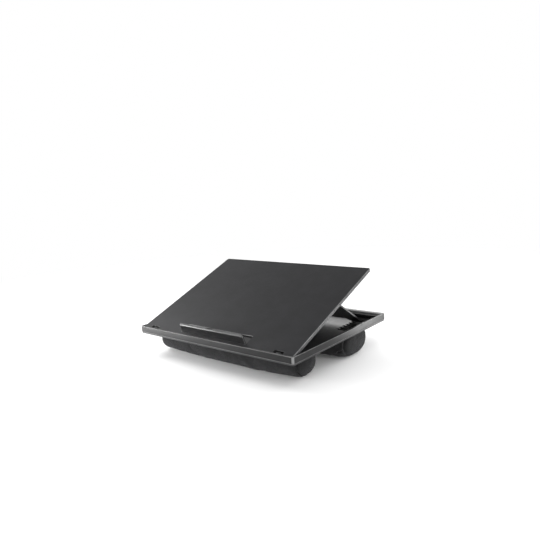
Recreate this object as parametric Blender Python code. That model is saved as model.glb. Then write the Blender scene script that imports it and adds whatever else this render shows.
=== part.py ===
"""Cushioned laptop stand: a shallow tray on two cushions, and a plate that a folding prop tilts up."""

import math

import bmesh
import bpy
from mathutils import Matrix, Vector

# Lengths are in metres. +X is right, +Y is rear, +Z is up.
# The origin is on the ground, below the middle of the tray.

# Gaps and steps shared by all pieces
FIT = 0.0003
OVERRUN = 0.002
CORNER_STEPS = 5
ROUND_STEPS = 16
EDGE_STEPS = 2

# Tray, driving sizes
TRAY_WIDTH = 0.375
TRAY_DEPTH = 0.300
TRAY_CORNER = 0.005
SIDE_RIM = 0.004
FRONT_RIM = 0.0045
REAR_RIM_FLAT = 0.011
REAR_SLOPE_RUN = 0.008
REAR_SLOPE_DROP = 0.0025
RIM_HEIGHT = 0.0104
FLOOR_THICKNESS = 0.0014
RIM_EDGE = 0.0006
RIM_CHAMFER = 0.0004
REAR_POCKET_WALL = 0.002
REAR_POCKET_ROOF = 0.0035
SCREW_WALL = 0.008

# Base cover under the tray
COVER_THICKNESS = 0.0023
COVER_INSET = 0.0008
COVER_EDGE = 0.0006

# Cushions and the boards that hold them
CUSHION_HEIGHT = 0.0440
FRONT_CUSHION_END_SETBACK = 0.0125
REAR_CUSHION_END_SETBACK = 0.0055
FRONT_CUSHION_DEPTH = 0.070
REAR_CUSHION_DEPTH = 0.098
FRONT_CUSHION_SETBACK = 0.029
CUSHION_SPACING = 0.054
CUSHION_FLAT = 0.0005
CUSHION_HIDDEN_CROWN = 0.008
CUSHION_END_DOME = 0.016
CUSHION_SEAM_GROOVE = 0.0014
CUSHION_SIDE_BOW = 0.003
CUSHION_ROUND_STEPS = 32
CUSHION_RINGS = 26
CUSHION_SEAM_RING = 4
FRONT_CUSHION_SQUARENESS = 2.05
REAR_CUSHION_SQUARENESS = 2.8
CUSHION_DOME_SQUARENESS = 2.4
BOARD_THICKNESS = 0.0024
BOARD_END_MARGIN = 0.030
BOARD_SIDE_MARGIN = 0.016

# Plate, measured from its hinge axis
PLATE_TILT = math.radians(21.5)
PLATE_SIDE_GAP = 0.0005
PLATE_FRONT_GAP = 0.0008
PLATE_FRONT_REACH = 0.0052
PLATE_REAR_GAP = 0.007
PLATE_TOP_TIER = 0.0033
PLATE_LOWER_TIER = 0.0024
PLATE_CORNER = 0.004
PLATE_EDGE = 0.001
LOWER_TIER_INSET = 0.001
RIB_WIDTH = 0.002
RIB_DROP = 0.003
RIB_START = 0.036
RIB_END_MARGIN = 0.010
RIB_PITCH = 0.060
RIB_COUNT = 5

# Plate hinges at the front of the tray
HINGE_SIDE_MARGIN = 0.031
HINGE_NOTCH_WIDTH = 0.019
HINGE_NOTCH_DEPTH = 0.0034
TONGUE_WIDTH = 0.0102
KNUCKLE_SETBACK = 0.0001
HINGE_RADIUS = 0.0024
HINGE_PIN_RADIUS = 0.001
EAR_GAP = 0.0004
BLOCK_MARGIN = 0.0005
BLOCK_FRONT = 0.0052
BLOCK_REAR = 0.0058
BLOCK_TOP_GAP = 0.0006

# Prop under the plate
PROP_PIVOT_REAR_MARGIN = 0.1065
PROP_PIVOT_DROP = 0.005
PROP_SIDE_MARGIN = 0.016
PROP_THICKNESS = 0.0026
PROP_BARREL_RADIUS = 0.0017
PROP_BARREL_SETBACK = 0.0004
PROP_PIN_RADIUS = 0.00075
PROP_PIN_LENGTH = 0.012
PROP_FOOT_WIDTH = 0.023
PROP_FOOT_HEIGHT = 0.014
PROP_FOOT_CHAMFER = 0.006
PROP_SIDE_TRIM = 0.001
FOOT_LIFT = 0.0011
FOOT_TIP_ROUND = 0.0011
LUG_GAP = 0.001
LUG_WIDTH = 0.0045
LUG_RADIUS = 0.0020

# Notched racks in the tray floor
RACK_OUTWARD_SHIFT = 0.0005
RACK_FOOT_GAP = 0.0015
RACK_CHANNEL_WIDTH = 0.016
RACK_PITCH = 0.0108
RACK_NOTCHES = 7
RACK_NOTCH_LENGTH = 0.0054
RACK_SEAT_REAR_MARGIN = 0.032
RACK_NOTCHES_BEHIND_SEAT = 1
RACK_END_MARGIN = 0.0038
RACK_FLANGE = 0.003
RACK_THICKNESS = 0.0011
RACK_GROOVE_DEPTH = 0.0005

# Stopper that keeps a laptop from sliding off
STOPPER_WIDTH = 0.157
STOPPER_HEIGHT = 0.018
STOPPER_THICKNESS = 0.0026
STOPPER_REACH = 0.0045
STOPPER_HOLLOW = 0.0005
STOPPER_CORNER = 0.005
STOPPER_EDGE = 0.0004
THUMB_NOTCH_WIDTH = 0.017
THUMB_NOTCH_DEPTH = 0.002
STOPPER_PIN_RADIUS = 0.00075
STOPPER_PIN_LENGTH = 0.008
POCKET_SIDE_GAP = 0.0006
POCKET_END_GAP = 0.0006
POCKET_HEEL_GAP = 0.0003

# Bumpers that carry the folded plate
BUMPER_RADIUS = 0.0035
BUMPER_EDGE = 0.0006
BUMPER_SIDE_MARGIN = 0.009
BUMPER_REAR_MARGIN = 0.025
BUMPER_SPACING = 0.110

# Screws, all of one kind but for their length
SCREW_HEAD_RADIUS = 0.0026
SCREW_HEAD_HEIGHT = 0.0013
SCREW_SHANK_RADIUS = 0.0012
SCREW_TIP = 0.0005
SCREW_SINK = 0.0001
SCREW_SLOT_LENGTH = 0.0028
SCREW_SLOT_WIDTH = 0.0007
SCREW_SLOT_DEPTH = 0.0007
COVER_SCREW_LENGTH = 0.008
COVER_SCREW_SIDE_MARGIN = 0.0225
COVER_SCREW_INNER_X = 0.060
HINGE_SCREW_LENGTH = 0.0064
BOARD_SCREW_LENGTH = 0.0045
BOARD_SCREW_END_MARGIN = 0.023
BOARD_SCREW_INNER_X = 0.045
PLATE_SCREW_LENGTH = 0.0044
PLATE_SCREW_SIDE_MARGIN = 0.009
PLATE_SCREW_FRONT_Y = 0.018
PLATE_SCREW_PIVOT_MARGIN = 0.029
PLATE_SCREW_REAR_MARGIN = 0.0175

# Heights worked out from the ground up
COVER_BOTTOM = CUSHION_HEIGHT + FIT
COVER_TOP = COVER_BOTTOM + COVER_THICKNESS
SHELL_BOTTOM = COVER_TOP + FIT
FLOOR_TOP = SHELL_BOTTOM + FLOOR_THICKNESS
RIM_TOP = FLOOR_TOP + RIM_HEIGHT
PLATE_THICKNESS = PLATE_TOP_TIER + FIT + PLATE_LOWER_TIER
HINGE_Z = RIM_TOP - PLATE_THICKNESS / 2

# Places worked out from the tray inwards
INNER_HALF_WIDTH = TRAY_WIDTH / 2 - SIDE_RIM
RIM_INNER_FRONT = -TRAY_DEPTH / 2 + FRONT_RIM
RIM_INNER_REAR = TRAY_DEPTH / 2 - REAR_RIM_FLAT
FLOOR_REAR = RIM_INNER_REAR - REAR_SLOPE_RUN
HINGE_Y = RIM_INNER_FRONT + PLATE_FRONT_GAP + PLATE_FRONT_REACH
COVER_SCREW_Y = (FLOOR_REAR + TRAY_DEPTH / 2) / 2
COVER_SCREW_OUTER_X = TRAY_WIDTH / 2 - COVER_SCREW_SIDE_MARGIN
COVER_SCREW_XS = (-COVER_SCREW_OUTER_X, -COVER_SCREW_INNER_X, COVER_SCREW_INNER_X, COVER_SCREW_OUTER_X)
BUMPER_X = INNER_HALF_WIDTH - BUMPER_SIDE_MARGIN
BUMPER_REAR_Y = FLOOR_REAR - BUMPER_REAR_MARGIN
BUMPER_YS = (BUMPER_REAR_Y - BUMPER_SPACING, BUMPER_REAR_Y)
FRONT_CUSHION_LENGTH = TRAY_WIDTH - 2 * FRONT_CUSHION_END_SETBACK
REAR_CUSHION_LENGTH = TRAY_WIDTH - 2 * REAR_CUSHION_END_SETBACK
FRONT_CUSHION_FRONT = -TRAY_DEPTH / 2 + FRONT_CUSHION_SETBACK
FRONT_CUSHION_Y = FRONT_CUSHION_FRONT + FRONT_CUSHION_DEPTH / 2
REAR_CUSHION_FRONT = FRONT_CUSHION_FRONT + FRONT_CUSHION_DEPTH + CUSHION_SPACING
REAR_CUSHION_Y = REAR_CUSHION_FRONT + REAR_CUSHION_DEPTH / 2
PLATE_HALF_WIDTH = INNER_HALF_WIDTH - PLATE_SIDE_GAP
PLATE_LENGTH = FLOOR_REAR - RIM_INNER_FRONT - PLATE_FRONT_GAP - PLATE_REAR_GAP
HINGE_X = PLATE_HALF_WIDTH - HINGE_SIDE_MARGIN
PLATE_SURFACE = PLATE_THICKNESS / 2
TOP_TIER_BOTTOM = PLATE_SURFACE - PLATE_TOP_TIER
LOWER_TIER_TOP = TOP_TIER_BOTTOM - FIT
PLATE_UNDERSIDE = -PLATE_THICKNESS / 2
PLATE_REAR_REACH = PLATE_LENGTH - PLATE_FRONT_REACH
PLATE_SCREW_X = PLATE_HALF_WIDTH - PLATE_SCREW_SIDE_MARGIN
BLOCK_HALF_WIDTH = HINGE_NOTCH_WIDTH / 2 - BLOCK_MARGIN
STOPPER_AXIS_Z = (PLATE_SURFACE + TOP_TIER_BOTTOM) / 2
STOPPER_RADIUS = STOPPER_THICKNESS / 2
STOPPER_BLADE = PLATE_SURFACE + STOPPER_HEIGHT - STOPPER_AXIS_Z
POCKET_HALF_WIDTH = STOPPER_WIDTH / 2 + POCKET_SIDE_GAP
BUMPER_BOTTOM = FLOOR_TOP + FIT
BUMPER_TOP = RIM_TOP - PLATE_THICKNESS - FIT

# The prop reaches from its pivot under the tilted plate down to its notch
PROP_PIVOT_REACH = PLATE_REAR_REACH - PROP_PIVOT_REAR_MARGIN
PROP_HALF_WIDTH = PLATE_HALF_WIDTH - PROP_SIDE_MARGIN
RACK_X = PROP_HALF_WIDTH - PROP_SIDE_TRIM - PROP_FOOT_WIDTH / 2 + RACK_OUTWARD_SHIFT
RACK_NOTCH_WIDTH = PROP_FOOT_WIDTH + 2 * RACK_FOOT_GAP
RACK_SEAT_Y = FLOOR_REAR - RACK_SEAT_REAR_MARGIN
PROP_PIVOT_Y = HINGE_Y + PROP_PIVOT_REACH * math.cos(PLATE_TILT) + PROP_PIVOT_DROP * math.sin(PLATE_TILT)
PROP_PIVOT_Z = HINGE_Z + PROP_PIVOT_REACH * math.sin(PLATE_TILT) - PROP_PIVOT_DROP * math.cos(PLATE_TILT)
FOOT_Z = FLOOR_TOP + FOOT_LIFT + PROP_THICKNESS / 2
PROP_LENGTH = math.hypot(RACK_SEAT_Y - PROP_PIVOT_Y, PROP_PIVOT_Z - FOOT_Z)
PROP_SLOPE = math.atan2(PROP_PIVOT_Z - FOOT_Z, RACK_SEAT_Y - PROP_PIVOT_Y)
PROP_UNFOLD = PLATE_TILT + PROP_SLOPE
PLATE_SCREW_YS = (
    PLATE_SCREW_FRONT_Y,
    PROP_PIVOT_REACH - PLATE_SCREW_PIVOT_MARGIN,
    PLATE_REAR_REACH - PLATE_SCREW_REAR_MARGIN,
)


def material(name, colour, roughness, metallic=0.0):
    """A plain Principled material."""
    finish = bpy.data.materials.new(name)
    finish.use_nodes = True
    shader = finish.node_tree.nodes["Principled BSDF"]
    shader.inputs["Base Color"].default_value = (*colour, 1.0)
    shader.inputs["Roughness"].default_value = roughness
    shader.inputs["Metallic"].default_value = metallic
    return finish


def place(name, mesh, parent=None):
    """Puts a mesh into the scene as a named object, in its parent's frame."""
    piece = bpy.data.objects.new(name, mesh)
    bpy.context.collection.objects.link(piece)
    piece.parent = parent
    return piece


def make_piece(name, shape, finish, parent=None):
    """Turns a bmesh into a named piece with its material."""
    mesh = bpy.data.meshes.new(name)
    shape.to_mesh(mesh)
    shape.free()
    mesh.materials.append(finish)
    return place(name, mesh, parent)


def make_cutter(name, shape, parent=None):
    """Turns a bmesh into a hidden shape that other pieces are cut with or joined to."""
    mesh = bpy.data.meshes.new(name)
    shape.to_mesh(mesh)
    shape.free()
    cutter = place(name, mesh, parent)
    cutter.hide_render = True
    cutter.display_type = "WIRE"
    return cutter


def combine(piece, cutter, operation="DIFFERENCE"):
    """Cuts a piece with a shape, joins the shape to it, or keeps what they share."""
    boolean = piece.modifiers.new(cutter.name, "BOOLEAN")
    boolean.operation = operation
    boolean.solver = "EXACT"
    boolean.object = cutter


def make_axis(name, place_at, turn, parent=None):
    """An empty on a joint's axis, which its moving pieces are parented to."""
    axis = bpy.data.objects.new(name, None)
    bpy.context.collection.objects.link(axis)
    axis.parent = parent
    axis.location = place_at
    axis.rotation_euler = (turn, 0.0, 0.0)
    return axis


def rounded_rectangle(x_low, x_high, y_low, y_high, radius):
    """Outline of a rectangle with round corners, anticlockwise."""
    corners = (
        (x_high - radius, y_low + radius, -90.0),
        (x_high - radius, y_high - radius, 0.0),
        (x_low + radius, y_high - radius, 90.0),
        (x_low + radius, y_low + radius, 180.0),
    )
    outline = []
    for centre_x, centre_y, start in corners:
        for step in range(CORNER_STEPS + 1):
            angle = math.radians(start + 90.0 * step / CORNER_STEPS)
            outline.append((centre_x + radius * math.cos(angle), centre_y + radius * math.sin(angle)))
    return outline


def extruded(corners, run):
    """A flat face through the corners, pushed along a vector into a closed solid."""
    shape = bmesh.new()
    face = shape.faces.new([shape.verts.new(corner) for corner in corners])
    pushed = bmesh.ops.extrude_face_region(shape, geom=[face])
    moved = [item for item in pushed["geom"] if isinstance(item, bmesh.types.BMVert)]
    bmesh.ops.translate(shape, verts=moved, vec=run)
    bmesh.ops.recalc_face_normals(shape, faces=shape.faces)
    return shape


def slab(outline, low, high):
    """A plate of the given outline, between two heights."""
    return extruded([(x, y, low) for x, y in outline], (0.0, 0.0, high - low))


def bar(profile, x_low, x_high):
    """A bar along X of the given (y, z) profile."""
    return extruded([(x_low, y, z) for y, z in profile], (x_high - x_low, 0.0, 0.0))


def box(x_low, x_high, y_low, y_high, z_low, z_high):
    """A plain block between two corners."""
    outline = [(x_low, y_low), (x_high, y_low), (x_high, y_high), (x_low, y_high)]
    return slab(outline, z_low, z_high)


def joined(shapes):
    """Several separate shapes as one cutter shape."""
    whole = bmesh.new()
    for shape in shapes:
        mesh = bpy.data.meshes.new("join")
        shape.to_mesh(mesh)
        shape.free()
        whole.from_mesh(mesh)
        bpy.data.meshes.remove(mesh)
    return whole


def rod(radius, x_low, x_high, y, z):
    """A round rod along X."""
    shape = bmesh.new()
    bmesh.ops.create_cone(
        shape, cap_ends=True, segments=ROUND_STEPS, radius1=radius, radius2=radius, depth=x_high - x_low
    )
    along_x = Matrix.Rotation(math.radians(90.0), 4, "Y")
    middle = Matrix.Translation(((x_low + x_high) / 2, y, z))
    bmesh.ops.transform(shape, matrix=middle @ along_x, verts=shape.verts)
    return shape


def turned(profile):
    """A solid turned about Z from (radius, height) points that start and end on the axis."""
    shape = bmesh.new()
    points = [shape.verts.new((radius, 0.0, height)) for radius, height in profile]
    lines = [shape.edges.new(pair) for pair in zip(points, points[1:])]
    bmesh.ops.spin(
        shape,
        geom=points + lines,
        cent=(0.0, 0.0, 0.0),
        axis=(0.0, 0.0, 1.0),
        dvec=(0.0, 0.0, 0.0),
        angle=math.radians(360.0),
        steps=ROUND_STEPS,
        use_merge=True,
    )
    bmesh.ops.remove_doubles(shape, verts=shape.verts, dist=SCREW_TIP / 100)
    bmesh.ops.recalc_face_normals(shape, faces=shape.faces)
    return shape


def round_edges(shape, width, chosen):
    """Rounds the edges that the test chooses."""
    edges = [edge for edge in shape.edges if chosen(edge.verts[0].co, edge.verts[1].co)]
    bmesh.ops.bevel(
        shape,
        geom=edges,
        offset=width,
        offset_type="OFFSET",
        segments=EDGE_STEPS,
        profile=0.5,
        affect="EDGES",
        clamp_overlap=True,
        material=-1,
    )
    return shape


def round_rim(shape, width, height):
    """Rounds the edges that lie at one height."""
    near = width / 100
    return round_edges(shape, width, lambda a, b: abs(a.z - height) < near and abs(b.z - height) < near)


def mirrored_sides():
    """The left and the right side, with the sign of X."""
    return (("left", -1.0), ("right", 1.0))


def span(middle, width):
    """The low and high ends of a width about its middle."""
    return middle - width / 2, middle + width / 2


def screw_mesh(name, length, finish):
    """A countersunk screw that points up, with a cross slot in its head."""
    profile = (
        (0.0, 0.0),
        (SCREW_HEAD_RADIUS, 0.0),
        (SCREW_SHANK_RADIUS, SCREW_HEAD_HEIGHT),
        (SCREW_SHANK_RADIUS, length - SCREW_TIP),
        (SCREW_SHANK_RADIUS - SCREW_TIP, length),
        (0.0, length),
    )
    piece = make_piece(name + "_pattern", turned(profile), finish)
    half = SCREW_SLOT_LENGTH / 2
    thin = SCREW_SLOT_WIDTH / 2
    cross = [
        (half, -thin), (half, thin), (thin, thin), (thin, half), (-thin, half), (-thin, thin),
        (-half, thin), (-half, -thin), (-thin, -thin), (-thin, -half), (thin, -half), (thin, -thin),
    ]
    slot = make_cutter(name + "_slot", slab(cross, -OVERRUN, SCREW_SLOT_DEPTH))
    combine(piece, slot)
    bpy.context.view_layer.update()
    view = bpy.context.evaluated_depsgraph_get()
    mesh = bpy.data.meshes.new_from_object(piece.evaluated_get(view))
    bpy.data.objects.remove(piece)
    bpy.data.objects.remove(slot)
    return mesh


def screw_hole(name, length, x, y, z, parent=None):
    """The cutter for a screw's hole, with its countersink."""
    profile = (
        (0.0, -OVERRUN),
        (SCREW_HEAD_RADIUS + FIT, -OVERRUN),
        (SCREW_HEAD_RADIUS + FIT, 0.0),
        (SCREW_SHANK_RADIUS + FIT, SCREW_HEAD_HEIGHT),
        (SCREW_SHANK_RADIUS + FIT, length + FIT),
        (0.0, length + FIT),
    )
    cutter = make_cutter(name, turned(profile), parent)
    cutter.location = (x, y, z)
    return cutter


def add_screw(name, mesh, length, x, y, underside, carriers, parent=None):
    """Sets a screw into an underside and drills the pieces that carry it."""
    height = underside + SCREW_SINK
    piece = place(name, mesh, parent)
    piece.location = (x, y, height)
    hole = screw_hole(name + "_hole", length, x, y, height, parent)
    for carrier in carriers:
        combine(carrier, hole)


def rack_notch_ys():
    """The middles of the rack's notches, front to rear."""
    rear = RACK_SEAT_Y + RACK_NOTCHES_BEHIND_SEAT * RACK_PITCH
    return [rear - RACK_PITCH * (RACK_NOTCHES - 1 - index) for index in range(RACK_NOTCHES)]


def rack_window(side):
    """The comb-shaped window over a rack: a channel with notches on both sides."""
    notches = rack_notch_ys()
    channel = RACK_CHANNEL_WIDTH / 2
    reach = RACK_NOTCH_WIDTH / 2
    half = RACK_NOTCH_LENGTH / 2
    front = notches[0] - half - RACK_END_MARGIN
    rear = notches[-1] + half + RACK_END_MARGIN
    right_edge = [(channel, front)]
    for middle in notches:
        right_edge += [
            (channel, middle - half),
            (reach, middle - half),
            (reach, middle + half),
            (channel, middle + half),
        ]
    right_edge.append((channel, rear))
    left_edge = [(-x, y) for x, y in reversed(right_edge)]
    return [(side * RACK_X + x, y) for x, y in right_edge + left_edge]


def rack_extent():
    """Front and rear ends of the rack window."""
    notches = rack_notch_ys()
    reach = RACK_NOTCH_LENGTH / 2 + RACK_END_MARGIN
    return notches[0] - reach, notches[-1] + reach


def build_tray_shell(finish):
    """The moulded tray: floor, rims and the deep rear rim with its pockets."""
    half_x = TRAY_WIDTH / 2
    half_y = TRAY_DEPTH / 2
    outline = rounded_rectangle(-half_x, half_x, -half_y, half_y, TRAY_CORNER)
    body = round_rim(slab(outline, SHELL_BOTTOM, RIM_TOP), RIM_EDGE, RIM_TOP)
    shell = make_piece("tray_shell", body, finish)
    recess = [
        (RIM_INNER_FRONT, FLOOR_TOP),
        (FLOOR_REAR, FLOOR_TOP),
        (FLOOR_REAR, RIM_TOP - REAR_SLOPE_DROP),
        (RIM_INNER_REAR, RIM_TOP),
        (RIM_INNER_REAR, RIM_TOP + OVERRUN),
        (RIM_INNER_FRONT, RIM_TOP + OVERRUN),
    ]
    combine(shell, make_cutter("tray_recess", bar(recess, -INNER_HALF_WIDTH, INNER_HALF_WIDTH)))
    combine(shell, make_cutter("tray_chamfer", rim_chamfer()))
    pockets = []
    for left, right in zip(COVER_SCREW_XS, COVER_SCREW_XS[1:]):
        pockets.append(
            box(
                left + SCREW_WALL / 2,
                right - SCREW_WALL / 2,
                FLOOR_REAR + REAR_POCKET_WALL,
                half_y - REAR_POCKET_WALL,
                SHELL_BOTTOM - OVERRUN,
                RIM_TOP - REAR_POCKET_ROOF,
            )
        )
    combine(shell, make_cutter("tray_rear_pockets", joined(pockets)))
    windows = []
    for _, side in mirrored_sides():
        windows.append(slab(rack_window(side), SHELL_BOTTOM - OVERRUN, FLOOR_TOP + OVERRUN))
    combine(shell, make_cutter("tray_rack_windows", joined(windows)))
    return shell


def rim_chamfer():
    """A shallow flared block that breaks the rim's inner top edge."""
    start = RIM_CHAMFER + FIT
    low = RIM_TOP - start
    x = INNER_HALF_WIDTH - FIT
    front = RIM_INNER_FRONT + FIT
    rear = RIM_INNER_REAR - FIT
    shape = box(-x, x, front, rear, low, RIM_TOP + start)
    for vert in shape.verts:
        if vert.co.z > RIM_TOP:
            vert.co.x += math.copysign(2 * start, vert.co.x)
            vert.co.y += math.copysign(2 * start, vert.co.y)
    return shape


def build_base_cover(finish):
    """The cover that closes the tray from below, with pockets that hold the racks."""
    half_x = TRAY_WIDTH / 2 - COVER_INSET
    half_y = TRAY_DEPTH / 2 - COVER_INSET
    outline = rounded_rectangle(-half_x, half_x, -half_y, half_y, TRAY_CORNER - COVER_INSET)
    body = round_rim(slab(outline, COVER_BOTTOM, COVER_TOP), COVER_EDGE, COVER_BOTTOM)
    cover = make_piece("base_cover", body, finish)
    pockets = []
    for _, side in mirrored_sides():
        x_low, x_high, y_low, y_high = rack_flange(side)
        pockets.append(
            box(
                x_low - FIT, x_high + FIT, y_low - FIT, y_high + FIT,
                COVER_TOP - RACK_THICKNESS - FIT, COVER_TOP + OVERRUN,
            )
        )
    combine(cover, make_cutter("cover_rack_pockets", joined(pockets)))
    return cover


def rack_flange(side):
    """The rack's outer rectangle, which stays under the tray floor."""
    front, rear = rack_extent()
    x_low, x_high = span(side * RACK_X, RACK_NOTCH_WIDTH + 2 * RACK_FLANGE)
    return x_low, x_high, front - RACK_FLANGE, rear + RACK_FLANGE


def build_rack(name, side, finish):
    """A notched strip, held between the tray floor and the base cover."""
    x_low, x_high, y_low, y_high = rack_flange(side)
    top = COVER_TOP
    strip = make_piece(name, box(x_low, x_high, y_low, y_high, top - RACK_THICKNESS, top), finish)
    grooves = []
    for middle in rack_notch_ys():
        front, rear = span(middle, RACK_NOTCH_LENGTH)
        left, right = span(side * RACK_X, RACK_NOTCH_WIDTH)
        grooves.append(box(left, right, front, rear, top - RACK_GROOVE_DEPTH, top + OVERRUN))
    combine(strip, make_cutter(name + "_grooves", joined(grooves)))
    return strip


def hinge_ear_profile(foot):
    """A hinge ear seen from the side: round above the pin, straight down to its foot."""
    profile = [(HINGE_Y - HINGE_RADIUS, foot), (HINGE_Y + HINGE_RADIUS, foot)]
    for step in range(ROUND_STEPS // 2 + 1):
        angle = math.radians(360.0 * step / ROUND_STEPS)
        profile.append((HINGE_Y + HINGE_RADIUS * math.cos(angle), HINGE_Z + HINGE_RADIUS * math.sin(angle)))
    return profile


def build_hinge(name, side, block_finish, pin_finish):
    """A block with two ears on the tray floor, and the pin through them."""
    middle = side * HINGE_X
    bottom = FLOOR_TOP + FIT
    top = RIM_TOP - PLATE_THICKNESS - BLOCK_TOP_GAP
    body = box(
        middle - BLOCK_HALF_WIDTH, middle + BLOCK_HALF_WIDTH,
        HINGE_Y - BLOCK_FRONT, HINGE_Y + BLOCK_REAR,
        bottom, top,
    )
    block = make_piece("hinge_block_" + name, body, block_finish)
    inner = TONGUE_WIDTH / 2 + EAR_GAP
    outer = BLOCK_HALF_WIDTH
    ears = []
    for turn in (-1.0, 1.0):
        low, high = sorted((middle + turn * inner, middle + turn * outer))
        ears.append(bar(hinge_ear_profile((bottom + top) / 2), low, high))
    combine(block, make_cutter("hinge_ears_" + name, joined(ears)), "UNION")
    through = HINGE_NOTCH_WIDTH
    bore = rod(HINGE_PIN_RADIUS + FIT, middle - through, middle + through, HINGE_Y, HINGE_Z)
    combine(block, make_cutter("hinge_bore_" + name, bore))
    reach = BLOCK_HALF_WIDTH - FIT
    pin = rod(HINGE_PIN_RADIUS, middle - reach, middle + reach, HINGE_Y, HINGE_Z)
    make_piece("hinge_pin_" + name, pin, pin_finish)
    return block


def plate_outline(inset, tongues):
    """Outline of a plate tier, with a notch at each front hinge and, below, a tongue in it."""
    x = PLATE_HALF_WIDTH - inset
    front = -PLATE_FRONT_REACH + inset
    rear = PLATE_REAR_REACH - inset
    outline = rounded_rectangle(-x, x, front, rear, PLATE_CORNER - inset)
    front_edge = []
    for side in (-1.0, 1.0):
        left, right = span(side * HINGE_X, HINGE_NOTCH_WIDTH)
        back = HINGE_NOTCH_DEPTH
        front_edge += [(left, front), (left, back)]
        if tongues:
            near, far = span(side * HINGE_X, TONGUE_WIDTH)
            front_edge += [(near, back), (near, 0.0), (far, 0.0), (far, back)]
        front_edge += [(right, back), (right, front)]
    return outline + front_edge


def build_plate_top(finish, axis):
    """The upper tier of the plate: the laptop's surface, with the stopper's pocket."""
    body = slab(plate_outline(0.0, False), TOP_TIER_BOTTOM, PLATE_SURFACE)
    body = round_rim(body, PLATE_EDGE, PLATE_SURFACE)
    top = make_piece("plate_top", body, finish, axis)
    pocket = box(
        -POCKET_HALF_WIDTH, POCKET_HALF_WIDTH,
        STOPPER_REACH - STOPPER_RADIUS - POCKET_HEEL_GAP,
        STOPPER_REACH + STOPPER_BLADE + POCKET_END_GAP,
        TOP_TIER_BOTTOM - OVERRUN, PLATE_SURFACE + OVERRUN,
    )
    combine(top, make_cutter("stopper_pocket", pocket, axis))
    bores = []
    for _, side in mirrored_sides():
        low, high = stopper_pin_span(side)
        bores.append(
            rod(STOPPER_PIN_RADIUS + FIT, low - FIT, high + FIT, STOPPER_REACH, STOPPER_AXIS_Z)
        )
    combine(top, make_cutter("stopper_pin_bores", joined(bores), axis))
    return top


def stopper_pin_span(side):
    """Ends of a stopper pin, half in the plate and half in the stopper."""
    middle = side * (STOPPER_WIDTH / 2 + POCKET_SIDE_GAP / 2)
    return span(middle, STOPPER_PIN_LENGTH)


def lug_profile():
    """A prop lug seen from the side, in the plate's frame."""
    top = PLATE_UNDERSIDE + PLATE_LOWER_TIER / 2
    profile = [(PROP_PIVOT_REACH + LUG_RADIUS, top), (PROP_PIVOT_REACH - LUG_RADIUS, top)]
    for step in range(ROUND_STEPS // 2 + 1):
        angle = math.radians(180.0 + 360.0 * step / ROUND_STEPS)
        along = PROP_PIVOT_REACH + LUG_RADIUS * math.cos(angle)
        profile.append((along, -PROP_PIVOT_DROP + LUG_RADIUS * math.sin(angle)))
    return profile


def lug_span(side):
    """Ends of a prop lug along X."""
    inner = PROP_HALF_WIDTH + LUG_GAP
    return sorted((side * inner, side * (inner + LUG_WIDTH)))


def prop_pin_span(side):
    """Ends of a prop pin, from the lug's outer face into the prop's barrel."""
    outer = PROP_HALF_WIDTH + LUG_GAP + LUG_WIDTH - FIT
    return sorted((side * outer, side * (outer - PROP_PIN_LENGTH)))


def build_plate_underframe(finish, axis):
    """The lower tier: tongues for the hinges, ribs, and lugs for the prop."""
    body = slab(plate_outline(LOWER_TIER_INSET, True), PLATE_UNDERSIDE, LOWER_TIER_TOP)
    under = make_piece("plate_underframe", body, finish, axis)
    knuckles = []
    for _, side in mirrored_sides():
        middle = side * HINGE_X
        reach = TONGUE_WIDTH / 2 - KNUCKLE_SETBACK
        knuckles.append(rod(HINGE_RADIUS, middle - reach, middle + reach, 0.0, 0.0))
        knuckles.append(bar(lug_profile(), *lug_span(side)))
    combine(under, make_cutter("underframe_knuckles", joined(knuckles), axis), "UNION")
    ribs = []
    rib_end = PROP_PIVOT_REACH - RIB_END_MARGIN
    rib_root = PLATE_UNDERSIDE + PLATE_LOWER_TIER / 2
    for index in range(RIB_COUNT):
        left, right = span(RIB_PITCH * (index - (RIB_COUNT - 1) / 2), RIB_WIDTH)
        ribs.append(box(left, right, RIB_START, rib_end, PLATE_UNDERSIDE - RIB_DROP, rib_root))
    combine(under, make_cutter("underframe_ribs", joined(ribs), axis), "UNION")
    bores = []
    for _, side in mirrored_sides():
        middle = side * HINGE_X
        bores.append(
            rod(HINGE_PIN_RADIUS + FIT, middle - HINGE_NOTCH_WIDTH, middle + HINGE_NOTCH_WIDTH, 0.0, 0.0)
        )
        low, high = lug_span(side)
        bores.append(
            rod(PROP_PIN_RADIUS + FIT, low - OVERRUN, high + OVERRUN, PROP_PIVOT_REACH, -PROP_PIVOT_DROP)
        )
    combine(under, make_cutter("underframe_bores", joined(bores), axis))
    return under


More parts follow.
